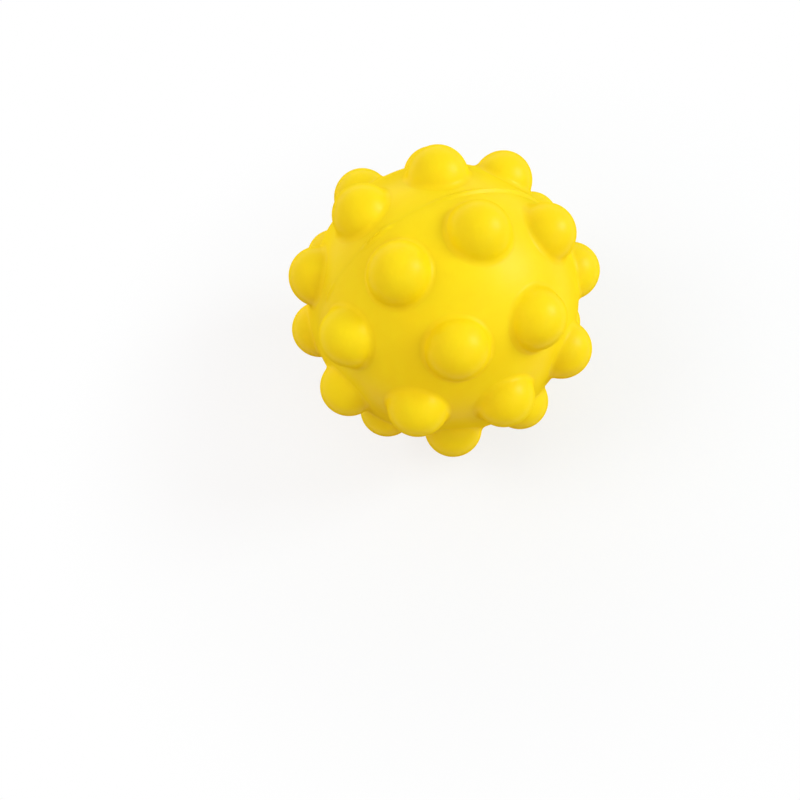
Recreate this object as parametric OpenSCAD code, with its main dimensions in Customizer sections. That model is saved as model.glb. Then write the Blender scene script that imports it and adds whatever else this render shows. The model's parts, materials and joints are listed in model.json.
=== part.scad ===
// Hollow sensory ball of soft rubber, with domes that push in and pop back out.
// Two moulded half shells are bonded along a vertical seam in the XZ plane, and the front half faces -Y.
// The ball stands on Z = 0 on the four outer domes nearest the ground, two on each side of the seam.

/* [Ball] */
// Outer diameter of the round body, without the domes
ball_d = 58; // [54:0.5:66]
// Thickness of the half shells
shell_wall = 2; // [1.2:0.1:3]

/* [Domes] */
// Diameter of the round that a dome is part of
dome_d = 12.4; // [11:0.2:13.4]
// Height of a dome's top above the body
dome_rise = 5.15; // [4.4:0.05:6]
// Thickness of a dome's wall
dome_wall = 1.5; // [1:0.1:1.8]
// Radius of the fillet at a dome's foot
dome_fillet = 1.5; // [0.8:0.1:1.8]
// Diameter of a dome's crown, the part that moves straight in
crown_d = 8.4; // [6.4:0.1:9]
// Gap between a crown and the flank around it
crown_gap = 0.1; // [0.05:0.01:0.2]

/* [Seam] */
// Height of the lip along each half's rim
lip_rise = 0.35; // [0.2:0.05:0.5]
// Width of the lip on each half
lip_w = 0.8; // [0.6:0.05:1.2]
// Thickness of the bond between the halves
bond_t = 0.2; // [0.1:0.02:0.4]
// Depth of the bond below the body's surface
bond_inset = 0.15; // [0:0.01:0.4]

/* [Hidden] */
$fn = 96;
rubber_colour = [0.98, 0.85, 0.15];
bond_colour = [0.86, 0.69, 0.08];

// The rows of domes on one half, from its pole to the seam
row_names = ["pole_dome", "inner_dome", "outer_dome"];
last_row = len(row_names) - 1;
// Rows lie at even steps from pole to pole, with the seam half way between the two outer rows
row_step = 180 / (2 * last_row + 1);
// A row has as many domes as fit round it about one step apart
domes_in_row = [for (row = [0 : last_row]) max(1, round(360 * sin(row * row_step) / row_step))];
outer_pitch = 360 / domes_in_row[last_row];
// Turn of each row's first dome from the top: a gap of the outer row is on top, and an inner dome
// lines up with the outer one left of that gap
row_turns = [0, -outer_pitch / 2, outer_pitch / 2];

ball_r = ball_d / 2;
dome_r = dome_d / 2;
crown_r = crown_d / 2;
// Where the middle of a dome's round lies, out from the middle of the ball
dome_out = ball_r + dome_rise - dome_r;
overall_r = dome_out + dome_r;

// Middle of the fillet's round, beside a dome's axis: both rounds touch it
fillet_overlap_share = 0.02;
fillet_from_ball = ball_r + dome_fillet;
fillet_from_dome = dome_r + dome_fillet;
fillet_up = (fillet_from_ball ^ 2 - fillet_from_dome ^ 2 + dome_out ^ 2) / (2 * dome_out);
fillet_side = sqrt(fillet_from_ball ^ 2 - fillet_up ^ 2);

// Round of the lip, which rises from the body over the lip's width
lip_r = (lip_w ^ 2 / 4 + lip_rise ^ 2) / (2 * lip_rise);

// Height of the ball's middle, when the lowest outer domes touch the ground
stand_z = dome_out * sin(last_row * row_step) * cos(outer_pitch / 2) + dome_r;

SIDES = [["front", 1], ["back", -1]];
// One entry for each dome: name, side, angle from the pole, turn from the top
DOMES = [
    for (side = SIDES, row = [0 : last_row], i = [0 : domes_in_row[row] - 1])
        [
            str(side[0], "_", row_names[row], row == 0 ? "" : str("_", i + 1)),
            side[1],
            row * row_step,
            row_turns[row] + i * 360 / domes_in_row[row],
        ]
];

// Puts a shape made about +Z from the middle of the ball on a dome's axis
module on_dome(dome) {
    rotate([0, dome[3], 0]) rotate([dome[1] * (90 - dome[2]), 0, 0]) children();
}

// Sets the ball's middle above the ground
module standing() {
    translate([0, 0, stand_z]) children();
}

// Part of a profile right of its axis and above the middle of the ball
module profile_side(w) {
    square([w, overall_r + dome_r]);
}

// Outline of a dome with the fillet at its foot, from half way into the wall, as a profile to revolve
module dome_profile() {
    difference() {
        intersection() {
            union() {
                translate([0, dome_out]) circle(dome_r);
                difference() {
                    polygon([[0, 0], [fillet_side, fillet_up], [0, dome_out]]);
                    translate([fillet_side, fillet_up]) circle(dome_fillet * (1 + fillet_overlap_share));
                }
            }
            profile_side(fillet_side);
        }
        circle(ball_r - shell_wall / 2);
    }
}

// The hollow of a dome and the bore that its crown moves in, as a profile to revolve
module hollow_profile() {
    intersection() {
        translate([0, dome_out]) union() {
            circle(dome_r - dome_wall);
            square([crown_r + crown_gap, dome_d]);
        }
        profile_side(fillet_side);
    }
}

// The lip's round along a half's rim, as a profile with the seam's axis upright
module lip_profile() {
    translate([ball_r + lip_rise - lip_r, lip_w / 2]) circle(lip_r);
}

// Half of the hollow body, its pole on +Z, with its lip
module half_body() {
    difference() {
        union() {
            sphere(ball_r);
            rotate_extrude() lip_profile();
        }
        sphere(ball_r - shell_wall);
        translate([0, 0, bond_t / 2 - overall_r]) cube(2 * overall_r, center = true);
    }
}

// One moulded half: side 1 is the front, side -1 the back
module half_shell(side) {
    color(rubber_colour) standing() difference() {
        union() {
            rotate([side * 90, 0, 0]) half_body();
            for (dome = DOMES) if (dome[1] == side) on_dome(dome) rotate_extrude() dome_profile();
        }
        for (dome = DOMES) if (dome[1] == side) on_dome(dome) rotate_extrude() hollow_profile();
    }
}

module front_half_shell() {
    half_shell(1);
}

module back_half_shell() {
    half_shell(-1);
}

// The ring of bond between the two rims
module seam_bond() {
    color(bond_colour) standing() rotate([90, 0, 0]) rotate_extrude()
        translate([ball_r - shell_wall, -bond_t / 2]) square([shell_wall - bond_inset, bond_t]);
}

// The top of one dome, inside the flank that folds
module dome_crown(dome) {
    color(rubber_colour) standing() on_dome(dome) rotate_extrude() intersection() {
        translate([0, dome_out]) difference() {
            circle(dome_r);
            circle(dome_r - dome_wall);
        }
        translate([0, dome_out]) profile_side(crown_r);
    }
}

front_half_shell();
back_half_shell();
seam_bond();
for (dome = DOMES) dome_crown(dome);
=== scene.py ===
"""Soft sensory ball: two moulded rubber halves bonded at a seam, with 34 domes that push in and pop out."""

import json
from itertools import combinations
from math import cos, radians, sin

import bpy
import numpy as np
from mathutils import Matrix, Vector


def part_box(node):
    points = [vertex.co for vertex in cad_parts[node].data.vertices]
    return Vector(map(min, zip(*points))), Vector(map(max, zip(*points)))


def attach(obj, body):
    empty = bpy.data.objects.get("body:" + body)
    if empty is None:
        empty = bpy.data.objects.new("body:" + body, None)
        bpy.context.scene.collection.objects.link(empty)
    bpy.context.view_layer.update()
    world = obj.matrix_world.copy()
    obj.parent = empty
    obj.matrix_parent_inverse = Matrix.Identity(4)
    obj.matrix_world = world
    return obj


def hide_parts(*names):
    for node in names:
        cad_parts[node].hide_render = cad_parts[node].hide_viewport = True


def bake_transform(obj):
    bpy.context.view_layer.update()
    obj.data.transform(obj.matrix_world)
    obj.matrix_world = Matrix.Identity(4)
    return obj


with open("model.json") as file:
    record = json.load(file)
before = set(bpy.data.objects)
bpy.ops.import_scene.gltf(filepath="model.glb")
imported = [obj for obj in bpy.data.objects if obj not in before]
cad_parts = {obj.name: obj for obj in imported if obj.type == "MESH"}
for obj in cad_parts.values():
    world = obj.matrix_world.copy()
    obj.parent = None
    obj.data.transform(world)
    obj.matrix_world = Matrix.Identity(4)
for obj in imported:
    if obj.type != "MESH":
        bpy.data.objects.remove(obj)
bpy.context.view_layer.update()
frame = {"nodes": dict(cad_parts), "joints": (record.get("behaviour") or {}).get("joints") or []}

# The half shells. Each is a hemisphere of soft yellow silicone, pigmented right through and cast 2 mm thick
# in one piece with its domes' feet. It is open where a dome stands, so that the dome can turn inside out.
# The two rims face each other across the bond.
SHELL_WALL = 0.002
DOME_RADIUS = 0.0062
FOOT_FILLET = 0.0015
# The bond's edge lies this far below the ball's surface
BOND_INSET = 0.00015
# Each half's name, and the side of the seam along Y that it is on
HALVES = (("front", -1), ("back", 1))

bond_low, bond_high = (np.array(corner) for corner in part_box("seam_bond"))
middle = (bond_low + bond_high) / 2
half_bond = (bond_high[1] - bond_low[1]) / 2
ball_radius = (bond_high[0] - bond_low[0]) / 2 + BOND_INSET
top_radius = middle[1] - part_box("front_pole_dome")[0].y
dome_out = top_radius - DOME_RADIUS

# A dome's foot is a fillet that touches the ball's round and the dome's round. Its middle is beside the axis
fillet_reach = ball_radius + FOOT_FILLET
fillet_up = (fillet_reach**2 - (DOME_RADIUS + FOOT_FILLET) ** 2 + dome_out**2) / (2 * dome_out)
fillet_side = np.sqrt(fillet_reach**2 - fillet_up**2)
foot_angle = np.arctan2(fillet_side, fillet_up)


def unit(vectors):
    """Vectors brought to a length of 1."""
    return vectors / np.linalg.norm(vectors, axis=-1, keepdims=True)


dome_names = [joint["child"] for joint in frame["joints"]]
dome_axes = unit(-np.array([joint["axis"] for joint in frame["joints"]]))

# Directions this close count as one corner, or as equally near to two domes
SAME_CORNER = 1e-3
SAME_REACH = 1e-5
# Steps along each edge of a dome's cell, which is the part of the ball that is nearest to that dome
EDGE_STEPS = 22


def cell_corners(axes):
    """Directions that three domes share as the nearest: normals of the planes through three axes' tips."""
    first, second, third = np.array(list(combinations(range(len(axes)), 3))).T
    normals = unit(np.cross(axes[second] - axes[first], axes[third] - axes[first]))
    candidates = np.concatenate([normals, -normals])
    reach = (candidates * axes[np.tile(first, 2)]).sum(1)
    nearest = candidates[(candidates @ axes.T).max(1) < reach + SAME_REACH]
    same = np.linalg.norm(nearest[:, None] - nearest[None], axis=2) < SAME_CORNER
    return nearest[np.unique(same.argmax(1))]


corners = cell_corners(dome_axes)
corner_reach = corners @ dome_axes.T


def cell_border(dome):
    """Directions round the dome's cell: even steps along the straight chord from corner to corner."""
    axis = dome_axes[dome]
    mine = corners[corner_reach[:, dome] > corner_reach.max(1) - SAME_REACH]
    across = unit(np.cross(axis, mine[0]))
    turn = np.arctan2(mine @ np.cross(axis, across), mine @ across)
    mine = mine[np.argsort(turn)]
    share = np.linspace(0, 1, EDGE_STEPS, endpoint=False)[:, None]
    chords = mine[:, None] * (1 - share) + np.roll(mine, -1, axis=0)[:, None] * share
    return unit(chords.reshape(-1, 3))


def dome_columns(dome):
    """Sideways directions from the dome's axis to its cell's border, and the angle out to each point."""
    axis = dome_axes[dome]
    border = cell_border(dome)
    out = border @ axis
    return unit(border - out[:, None] * axis), np.arccos(out)


# The slight unevenness of soft rubber, as a few long waves: their height, number, spread and seed
SWELL = 0.00012
SWELL_WAVES = 6
SWELL_REACH = 5.0
SWELL_SEED = 11
rng = np.random.default_rng(SWELL_SEED)
swell_waves = rng.normal(0, SWELL_REACH, (SWELL_WAVES, 3))
swell_phases = rng.uniform(0, 2 * np.pi, SWELL_WAVES)


def swelled(points):
    """Points shifted out or in by the mean of the waves, each a sine of the direction from the middle."""
    out = unit(points)
    return points + out * SWELL * np.sin(out @ swell_waves.T + swell_phases).mean(-1, keepdims=True)


def ring_faces(rows, columns, closed=False):
    """Four-cornered faces of a grid whose columns close into a ring, and its rows too if it is closed.

    They face outwards where the columns turn left.
    """
    row, column = np.meshgrid(np.arange(rows if closed else rows - 1), np.arange(columns), indexing="ij")
    next_row = (row + 1) % rows * columns
    next_column = (column + 1) % columns
    row = row * columns
    quads = [row + column, next_row + column, next_row + next_column, row + next_column]
    return np.stack(quads, axis=-1).reshape(-1, 4)


MICROMETRE_DIGITS = 6


def merged(points, faces):
    """Points that lie on the same micrometre become one."""
    places = np.round(points, MICROMETRE_DIGITS)
    _, first, inverse = np.unique(places, axis=0, return_index=True, return_inverse=True)
    return points[first], inverse.reshape(-1)[faces]


# Rows of the shell round a dome, as shares of the way from its foot to its cell's border
ROW_SHARES = np.array([0, 0.02, 0.08, 0.17, 0.28, 0.4, 0.52, 0.64, 0.76, 0.88, 1])


def half_skin(domes):
    """One half's outer surface: for each dome, a ring of the ball from its foot to its cell's border."""
    points, faces, count = [], [], 0
    for dome in domes:
        sideways, border_angle = dome_columns(dome)
        angle = foot_angle + ROW_SHARES[:, None] * (border_angle - foot_angle)
        ring = np.cos(angle)[..., None] * dome_axes[dome] + np.sin(angle)[..., None] * sideways
        points.append(ball_radius * ring.reshape(-1, 3))
        faces.append(ring_faces(*angle.shape) + count)
        count += angle.size
    return merged(np.concatenate(points), np.concatenate(faces))


def walled(outer, inner, faces, caps=()):
    """A closed wall: the outer surface, the inner one turned round, and a strip between at open edges."""
    count = len(outer)
    caps = np.array(caps, int).reshape(-1, 3)
    sides = [np.stack([part, np.roll(part, -1, axis=1)], axis=-1).reshape(-1, 2) for part in (faces, caps)]
    edges = np.concatenate(sides)
    keys = np.sort(edges, axis=1) @ np.array([count, 1])
    known, times = np.unique(keys, return_counts=True)
    start, end = edges[np.isin(keys, known[times == 1])].T
    strip = np.stack([end, start, start + count, end + count], axis=-1)
    quads = np.concatenate([faces, faces[:, ::-1] + count, strip])
    triangles = np.concatenate([caps, caps[:, ::-1] + count])
    return np.concatenate([outer, inner]), quads.tolist() + triangles.tolist()


class Shade:
    """One output of a shader node.

    Sums written on it add Math nodes, and node() adds a node of any other kind.
    """

    def __init__(self, socket):
        self.socket = socket
        self.tree = socket.id_data

    def node(self, kind, settings=None, sockets=None, output=0):
        """Adds a node, sets its settings, links or fills its sockets, and returns one of its outputs."""
        node = self.tree.nodes.new(kind)
        for name, value in (settings or {}).items():
            setattr(node, name, value)
        for name, value in (sockets or {}).items():
            if isinstance(value, Shade):
                self.tree.links.new(value.socket, node.inputs[name])
            else:
                node.inputs[name].default_value = value
        return Shade(node.outputs[output])

    def maths(self, operation, first, second):
        """A Math node on two values, each a shade or a number."""
        return self.node("ShaderNodeMath", {"operation": operation}, {0: first, 1: second})

    def __add__(self, other):
        return self.maths("ADD", self, other)

    def __sub__(self, other):
        return self.maths("SUBTRACT", self, other)

    def __rsub__(self, other):
        return self.maths("SUBTRACT", other, self)

    def __mul__(self, other):
        return self.maths("MULTIPLY", self, other)

    __radd__ = __add__
    __rmul__ = __mul__


def start_material(name):
    """A new material, its surface shader, and its Object coordinates to build on."""
    material = bpy.data.materials.new(name)
    material.use_nodes = True
    shader = material.node_tree.nodes["Principled BSDF"]
    place = Shade(shader.outputs["BSDF"]).node("ShaderNodeTexCoord", output="Object")
    return material, shader, place


def feed(shader, name, shade):
    """Links a shade to one of a shader's sockets."""
    shade.tree.links.new(shade.socket, shader.inputs[name])


def linear(red, green, blue):
    """A colour given in 0 to 255 screen values, as linear light, by the standard screen curve."""
    screen = np.array([red, green, blue]) / 255
    light = np.where(screen > 0.04045, ((screen + 0.055) / 1.055) ** 2.4, screen / 12.92)
    return (*light, 1.0)


def noise(place, per_metre, detail=2):
    """Soft noise about 0.5, with that many bumps to a metre."""
    return place.node("ShaderNodeTexNoise", None, {"Vector": place, "Scale": per_metre, "Detail": detail})


def step(shade, low, high):
    """0 below low, 1 above high, and a smooth rise between them."""
    return shade.node(
        "ShaderNodeMapRange",
        {"interpolation_type": "SMOOTHSTEP"},
        {"Value": shade, "From Min": low, "From Max": high},
    )


def mixed(factor, first, second):
    """A colour that goes from the first to the second as the factor goes from 0 to 1."""
    return factor.node(
        "ShaderNodeMix", {"data_type": "RGBA"}, {"Factor": factor, "A": first, "B": second}, output="Result"
    )


# Colours of the rubber, the clouds' part in its tone, and how far painted crease shade or a scuff changes it
DEEP_YELLOW = linear(246, 218, 16)
BRIGHT_YELLOW = linear(247, 225, 21)
# Painted shade: the deeper yellow laid in the crease round each dome's foot
PAINTED_SHADE_YELLOW = linear(238, 190, 6)
SCUFF_YELLOW = linear(252, 226, 70)
CLOUD_SHARE = 0.75
PAINTED_SHADE_SHARE = 0.12
SCUFF_SHARE = 0.2
# How strongly the skin reflects, its roughness, and what clouds, scuffs and a slanting look add to that
RUBBER_REFLECTION = 0.16
SATIN_ROUGHNESS = 0.38
CLOUD_ROUGHNESS = 0.12
SCUFF_ROUGHNESS = 0.12
GRAZING_ROUGHNESS = 0.55
# The moulded relief: weights of its noises from fine to broad, its strength, and its depth in metres
POWDER_WEIGHT = 0.25
PORE_WEIGHT = 0.6
MOTTLE_WEIGHT = 0.8
RELIEF_STRENGTH = 0.16
RELIEF_DEPTH = 0.00025
# Light that goes a little way into the rubber: its weight, its spread by colour, and its depth in metres
GLOW_WEIGHT = 0.12
GLOW_SPREAD = (1.0, 0.7, 0.15)
GLOW_DEPTH = 0.0015


def soft_rubber():
    """Satin, cloudy yellow with a fine relief: painted shade in the domes' creases, paler and rougher in
    scuffs.
    """
    material, shader, place = start_material("yellow_rubber")
    cloud = noise(place, per_metre=60, detail=3)
    mottle = noise(place, per_metre=420)
    worn_patch = step(noise(place, per_metre=150, detail=6), low=0.62, high=0.78)
    speck = step(noise(place, per_metre=1500, detail=3), low=0.45, high=0.65)
    scuff = worn_patch * speck

    tone = step(cloud * CLOUD_SHARE + mottle * (1 - CLOUD_SHARE), low=0.3, high=0.7)
    body = mixed(tone, DEEP_YELLOW, BRIGHT_YELLOW)
    # Painted shade: a share of the deeper crease yellow, carried on each dome's mesh, darkens its fillet
    painted_crease_shade = place.node("ShaderNodeAttribute", {"attribute_name": "painted_crease_shade"}, output="Fac")
    shade_painted = mixed(painted_crease_shade * PAINTED_SHADE_SHARE, body, PAINTED_SHADE_YELLOW)
    feed(shader, "Base Color", mixed(scuff * SCUFF_SHARE, shade_painted, SCUFF_YELLOW))

    clouded = SATIN_ROUGHNESS + (cloud - 0.5) * CLOUD_ROUGHNESS
    grazing = step(place.node("ShaderNodeLayerWeight", output="Facing"), low=0.45, high=0.85)
    feed(shader, "Roughness", clouded + scuff * SCUFF_ROUGHNESS + grazing * GRAZING_ROUGHNESS)

    pores = noise(place, per_metre=2600)
    powder = noise(place, per_metre=8000, detail=1)
    relief = pores * PORE_WEIGHT + powder * POWDER_WEIGHT + mottle * MOTTLE_WEIGHT
    bump = {"Strength": RELIEF_STRENGTH, "Distance": RELIEF_DEPTH, "Height": relief}
    feed(shader, "Normal", place.node("ShaderNodeBump", None, bump))

    shader.subsurface_method = "BURLEY"
    shader.inputs["Specular IOR Level"].default_value = RUBBER_REFLECTION
    shader.inputs["Subsurface Weight"].default_value = GLOW_WEIGHT
    shader.inputs["Subsurface Radius"].default_value = GLOW_SPREAD
    shader.inputs["Subsurface Scale"].default_value = GLOW_DEPTH
    return material


yellow_rubber = soft_rubber()
CREASE_ANGLE = radians(50)


def add_piece(name, points, faces):
    """A smooth-shaded mesh object of yellow rubber, creased only at its edges."""
    mesh = bpy.data.meshes.new(name)
    mesh.from_pydata((points + middle).tolist(), [], faces)
    mesh.polygons.foreach_set("use_smooth", np.ones(len(mesh.polygons), bool))
    mesh.set_sharp_from_angle(angle=CREASE_ANGLE)
    mesh.materials.append(yellow_rubber)
    piece = bpy.data.objects.new(name, mesh)
    bpy.context.scene.collection.objects.link(piece)
    return piece


for half, side in HALVES:
    domes = [number for number, name in enumerate(dome_names) if name.startswith(half)]
    skin, faces = half_skin(domes)
    skin[:, 1] = side * np.maximum(side * skin[:, 1], half_bond)
    outer = swelled(skin)
    inner = skin * (1 - SHELL_WALL / ball_radius)
    inner[:, 1] = side * np.maximum(side * inner[:, 1], half_bond)
    shell = add_piece(f"{half}_shell_skin", *walled(outer, inner, faces))
    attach(shell, "shell")
    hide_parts(f"{half}_half_shell")

# The domes. Each is a thin hollow bubble of the same rubber on a filleted foot, cast with its half.
DOME_SKIN = 0.0004
# Rows of the fillet and of the round, as shares of each arc. The round has no row at the fillet or the top
FILLET_SHARES = np.array([0, 0.03, 0.14, 0.28, 0.42, 0.56, 0.7, 0.85, 1])
ROUND_ROWS = 24
ROUND_SHARES = np.linspace(0, 1, ROUND_ROWS)[1:-1]


def dome_profile(inset):
    """Sideways and upward places of a dome's skin from foot to top: the fillet's arc, then the round's."""
    low = np.arctan2(-fillet_up, -fillet_side)
    high = np.arctan2(dome_out - fillet_up, -fillet_side)
    fillet = low + FILLET_SHARES * (high - low)
    slope = np.arctan2(fillet_side, fillet_up - dome_out) * (1 - ROUND_SHARES)
    fillet_radius = FOOT_FILLET + inset
    round_radius = DOME_RADIUS - inset
    fillet_across = fillet_side + fillet_radius * np.cos(fillet)
    across = np.concatenate([fillet_across, round_radius * np.sin(slope)])
    fillet_height = fillet_up + fillet_radius * np.sin(fillet)
    up = np.concatenate([fillet_height, dome_out + round_radius * np.cos(slope)])
    return across, up


def dome_surface(dome, inset):
    """The profile turned about the dome's axis through its cell's columns, with a last point at the top."""
    sideways, _ = dome_columns(dome)
    across, up = dome_profile(inset)
    rings = up[:, None, None] * dome_axes[dome] + across[:, None, None] * sideways
    top = (top_radius - inset) * dome_axes[dome]
    return np.concatenate([rings.reshape(-1, 3), top[None]]), len(up), len(sideways)


# Painted shade runs round the dome in the middle of its fillet, and fades with distance along the profile
PAINTED_SHADE_REACH = 0.001
run = np.append(0, np.cumsum(np.hypot(*np.diff(dome_profile(0)))))
painted_shade_rise = np.exp(-(((run - run[len(FILLET_SHARES) // 2]) / PAINTED_SHADE_REACH) ** 2))

# A height on each dome's axis beyond its top: the top lies this share of the way to it from the foot
TOP_SHARE = 0.8
foot_up = ball_radius * np.cos(foot_angle)
fold_end = foot_up + (top_radius - foot_up) / TOP_SHARE

for dome, name in enumerate(dome_names):
    outer, rows, columns = dome_surface(dome, 0)
    inner, _, _ = dome_surface(dome, DOME_SKIN)
    last = (rows - 1) * columns + np.arange(columns)
    caps = np.stack([last, np.full(columns, rows * columns), np.roll(last, -1)], axis=-1)
    # Painted shade: each point's share of the deeper crease yellow, none at the top
    painted_crease_shade = np.append(np.repeat(painted_shade_rise, columns), 0)
    faces = ring_faces(rows, columns)[:, ::-1]
    points, faces = walled(swelled(outer), swelled(inner), faces, caps[:, ::-1])
    bubble = add_piece(f"{name}_skin", points, faces)
    painted_shade_mark = bubble.data.attributes.new("painted_crease_shade", "FLOAT", "POINT")
    painted_shade_mark.data.foreach_set("value", np.tile(painted_crease_shade, 2).astype(np.float32))
    axis = dome_axes[dome]
    middle + axis * foot_up
    middle + axis * fold_end
    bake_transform(bubble)
    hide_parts(name)

# The seam lips. Where the two mouldings meet, their rims swell into one low rounded ridge that comes and
# goes along the seam. In some stretches a hairline is left open along its top, down to the bond.
LIP_RISE = 0.0005
LIP_WIDTH = 0.00095
LIP_DEPTH = 0.0005
# A lip's outer edge dips this far into the shell
LIP_SINK = 0.00004
LIP_STEPS = 1440
LIP_COLUMNS = 18
# Columns of a lip as shares of its width, closest together at the seam
LIP_SHARES = np.linspace(0, 1, LIP_COLUMNS) ** 2
# What the ridge keeps everywhere, as a share of its full rise
LIP_BASE_SHARE = 0.03
# The hairline's half width, and how far its floor lies below the ball's surface
HAIRLINE_WIDTH = 0.00011
HAIRLINE_FLOOR = 0.00018
# Stretches of the seam where the ridge stands up, and where the hairline is open: the middle and the reach,
# in degrees from the top towards +X, and the share of the full rise or opening
RIDGE_STRETCHES = (
    (36, 24, 1.0),
    (-17, 6, 0.85),
    (-47, 4, 0.5),
    (92, 14, 0.5),
    (140, 20, 0.8),
    (208, 26, 0.7),
)
OPEN_STRETCHES = (
    (-18, 4, 0.42),
    (64, 5, 0.8),
    (118, 12, 0.9),
    (176, 8, 0.8),
    (250, 18, 1.0),
)


def along_seam(turn, stretches):
    """A share that swells to each stretch's own in a flat-topped bell.

    The bell is e to minus the fourth power of the way from the stretch's middle, in reaches.
    """
    middles, reaches, shares = np.array(stretches, float).T
    away = (np.degrees(turn)[:, None] - middles + 180) % 360 - 180
    return (shares * np.exp(-((away / reaches) ** 4))).sum(1)[:, None]


def seam_lip(side):
    """A half ridge swept round the seam: a half cosine out from the seam, less a bell-shaped hairline."""
    turn = np.linspace(0, 2 * np.pi, LIP_STEPS, endpoint=False)
    full_rise = LIP_RISE * (LIP_BASE_SHARE + along_seam(turn, RIDGE_STRETCHES))
    ridge = full_rise * (1 + np.cos(np.pi * LIP_SHARES)) / 2
    bell = np.exp(-((LIP_SHARES * LIP_WIDTH / HAIRLINE_WIDTH) ** 2))
    hairline = np.minimum(along_seam(turn, OPEN_STRETCHES) * bell, 1)
    rise = ridge * (1 - hairline) - HAIRLINE_FLOOR * hairline - LIP_SINK * LIP_SHARES
    root = np.full((LIP_STEPS, 2), ball_radius - LIP_DEPTH)
    radius = np.concatenate([ball_radius + rise, root], axis=1)
    along = side * np.concatenate([LIP_WIDTH * LIP_SHARES, [LIP_WIDTH, 0]])
    east = radius * np.sin(turn)[:, None]
    up = radius * np.cos(turn)[:, None]
    points = np.stack([east, np.broadcast_to(along, radius.shape), up], axis=-1)
    faces = ring_faces(LIP_STEPS, len(along), closed=True)
    return swelled(points.reshape(-1, 3)), faces[:, ::side].tolist()


for half, side in HALVES:
    lip = add_piece(f"{half}_seam_lip", *seam_lip(side))
    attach(lip, "shell")

# The seam bond. A thin ring of cured rubber adhesive holds the rims together. Only its edge shows, at the
# bottom of the hairline, a little darker and glossier than the mouldings.
BOND_AMBER = linear(206, 158, 14)
BUBBLE_YELLOW = linear(226, 182, 30)
BOND_ROUGHNESS = 0.3
BUBBLE_ROUGHNESS = 0.2
BUBBLE_STRENGTH = 0.3
BUBBLE_DEPTH = 0.0001


def cured_bond():
    """Amber yellow with small bubbles and a wet gloss."""
    material, shader, place = start_material("cured_bond")
    bubble = step(noise(place, per_metre=1800), low=0.55, high=0.7)
    feed(shader, "Base Color", mixed(bubble, BOND_AMBER, BUBBLE_YELLOW))
    feed(shader, "Roughness", BOND_ROUGHNESS + bubble * BUBBLE_ROUGHNESS)
    bump = {"Strength": BUBBLE_STRENGTH, "Distance": BUBBLE_DEPTH, "Height": bubble}
    feed(shader, "Normal", place.node("ShaderNodeBump", None, bump))
    return material


bond = frame["nodes"]["seam_bond"]
bond.data.materials.clear()
bond.data.materials.append(cured_bond())

# The studio. The ball stands on a white floor in a faintly warm room. One softbox at the upper right of the
# view shows as a glint on each dome. Four wider ones fill the sides and the back without a glint.
# The picture's width, the focal length and the place of the ball's middle, in pixels
PHOTO_PIXELS = 800
FOCAL_PIXELS = 782.0
BALL_PIXEL = (442.2, 300.8)
# The sensor in millimetres, the camera's nearest depth and its distance in metres, and its angles
SENSOR_WIDTH = 36
NEAREST_SEEN = 0.005
CAMERA_DISTANCE = 0.1724
CAMERA_AZIMUTH = radians(-13.0)
CAMERA_ELEVATION = radians(53.2)
CAMERA_ROLL = radians(-16.9)

scene = bpy.context.scene
scene.view_settings.view_transform = "Standard"

# The view's axes: back from the ball to the camera, and right with the camera's roll
back = Vector((
    sin(CAMERA_AZIMUTH) * cos(CAMERA_ELEVATION),
    -cos(CAMERA_AZIMUTH) * cos(CAMERA_ELEVATION),
    sin(CAMERA_ELEVATION),
))
level = Vector((cos(CAMERA_AZIMUTH), sin(CAMERA_AZIMUTH), 0))
right = level * cos(CAMERA_ROLL) + back.cross(level) * sin(CAMERA_ROLL)
square_on = Matrix((right, back.cross(right), back)).transposed()

# The camera turns aside until the ball's middle falls on its pixel
half_frame = PHOTO_PIXELS / 2
sight_right = (BALL_PIXEL[0] - half_frame) / FOCAL_PIXELS
sight_up = (half_frame - BALL_PIXEL[1]) / FOCAL_PIXELS
aim = Vector((0, 0, -1)).rotation_difference(Vector((sight_right, sight_up, -1))).to_matrix()

camera_data = bpy.data.cameras.new("camera")
camera_data.sensor_width = SENSOR_WIDTH
camera_data.lens = SENSOR_WIDTH * FOCAL_PIXELS / PHOTO_PIXELS
camera_data.clip_start = NEAREST_SEEN
camera = bpy.data.objects.new("camera", camera_data)
camera_place = Matrix.Translation(Vector(middle) + back * CAMERA_DISTANCE)
camera.matrix_world = camera_place @ (square_on @ aim.transposed()).to_4x4()
scene.collection.objects.link(camera)
scene.camera = camera

# The softboxes' distance and widths in metres, and the colours of their light
LAMP_DISTANCE = 0.6
KEY_SIZE = 0.18
FILL_SIZE = 0.36
PLAIN_TINT = (1, 1, 1)
CLEAR_TINT = (0.88, 1, 1)
WARM_TINT = (1, 0.915, 0.85)


def add_softbox(name, toward, watts, size=FILL_SIZE, tint=PLAIN_TINT, reflected=False):
    """A square lamp that faces the ball. Only a reflected one shows as a glint in the rubber.

    Its direction is given as shares of the view's right, up and back.
    """
    lamp_data = bpy.data.lights.new(name, "AREA")
    lamp_data.size = size
    lamp_data.energy = watts
    lamp_data.color = tint
    lamp = bpy.data.objects.new(name, lamp_data)
    direction = (square_on @ Vector(toward)).normalized()
    turned = direction.to_track_quat("Z", "Y").to_matrix().to_4x4()
    lamp.matrix_world = Matrix.Translation(Vector(middle) + direction * LAMP_DISTANCE) @ turned
    lamp.visible_glossy = reflected
    scene.collection.objects.link(lamp)


add_softbox("key_light", (0.8, 0.4, 0.45), watts=1.42, size=KEY_SIZE, tint=CLEAR_TINT, reflected=True)
add_softbox("right_fill", (0.7, -0.2, 0.7), watts=0.84)
add_softbox("left_fill", (-0.7, 0.3, 0.6), watts=1.18, tint=WARM_TINT)
add_softbox("back_fill", (-0.1, 0.85, -0.5), watts=0.84)
add_softbox("side_fill", (-0.7, 0.6, -0.4), watts=0.6)


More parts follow.
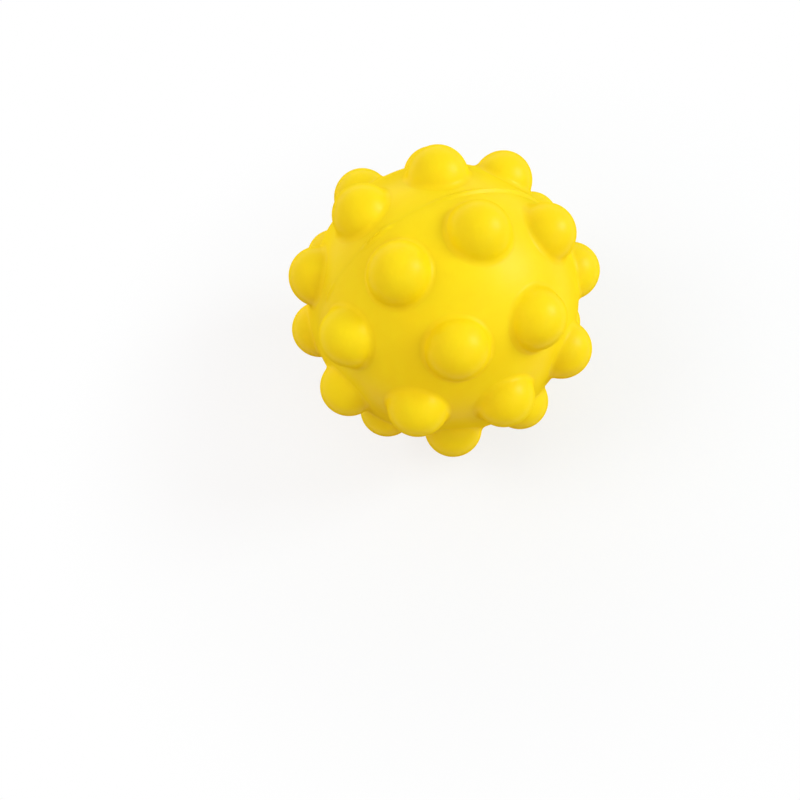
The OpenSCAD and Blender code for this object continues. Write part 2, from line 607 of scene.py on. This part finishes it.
def seen_as_backdrop(surface):
    """1 for what the camera, a reflection or a clear body shows, and 0 for light that falls on the ball."""
    camera_ray = surface.node("ShaderNodeLightPath", output="Is Camera Ray")
    rays = camera_ray.socket.node.outputs
    shown = camera_ray + Shade(rays["Is Glossy Ray"]) + Shade(rays["Is Transmission Ray"])
    return shown.maths("MINIMUM", shown, 1.0)


# The room is seen as white. Its light on the ball is warmer, and has this strength
WHITE = (1, 1, 1, 1)
WARM_ROOM = linear(255, 239, 229)
WORLD_FILL = 0.556
world = bpy.data.worlds.new("white_room")
world.use_nodes = True
sky = world.node_tree.nodes["Background"]
backdrop = seen_as_backdrop(Shade(sky.outputs["Background"]))
feed(sky, "Color", mixed(backdrop, WARM_ROOM, WHITE))
feed(sky, "Strength", WORLD_FILL + backdrop * (1 - WORLD_FILL))
scene.world = world

# The floor is seen as white, with the ball's shadow in a soft round below it, and throws back warmer light
FLOOR_SIZE = 3.0
FLOOR_WHITE = linear(238, 247, 255)
FLOOR_BOUNCE = linear(188, 162, 98)
FLOOR_ROUGHNESS = 0.9
SHADOW_SHARE = 0.28
SHADOW_REACH = 0.12
edge = FLOOR_SIZE / 2
floor_corners = [(-edge, -edge, 0), (edge, -edge, 0), (edge, edge, 0), (-edge, edge, 0)]
floor_mesh = bpy.data.meshes.new("floor")
floor_mesh.from_pydata(floor_corners, [], [(0, 1, 2, 3)])
floor_material, floor_shader, floor_place = start_material("white_floor")
lit_floor = Shade(floor_shader.outputs["BSDF"])
seen = seen_as_backdrop(lit_floor)
feed(floor_shader, "Base Color", mixed(seen, FLOOR_BOUNCE, FLOOR_WHITE))
floor_shader.inputs["Roughness"].default_value = FLOOR_ROUGHNESS
from_ball = floor_place.node(
    "ShaderNodeVectorMath", {"operation": "LENGTH"}, {0: floor_place}, output="Value"
)
plain = 1 - (1 - step(from_ball, low=SHADOW_REACH / 2, high=SHADOW_REACH)) * SHADOW_SHARE
glow = floor_place.node("ShaderNodeEmission", None, {"Color": WHITE, "Strength": 1.0})
floor_surface = floor_place.node("ShaderNodeMixShader", None, {0: seen * plain, 1: lit_floor, 2: glow})
feed(floor_material.node_tree.nodes["Material Output"], "Surface", floor_surface)
floor_mesh.materials.append(floor_material)
floor = bpy.data.objects.new("floor", floor_mesh)
scene.collection.objects.link(floor)
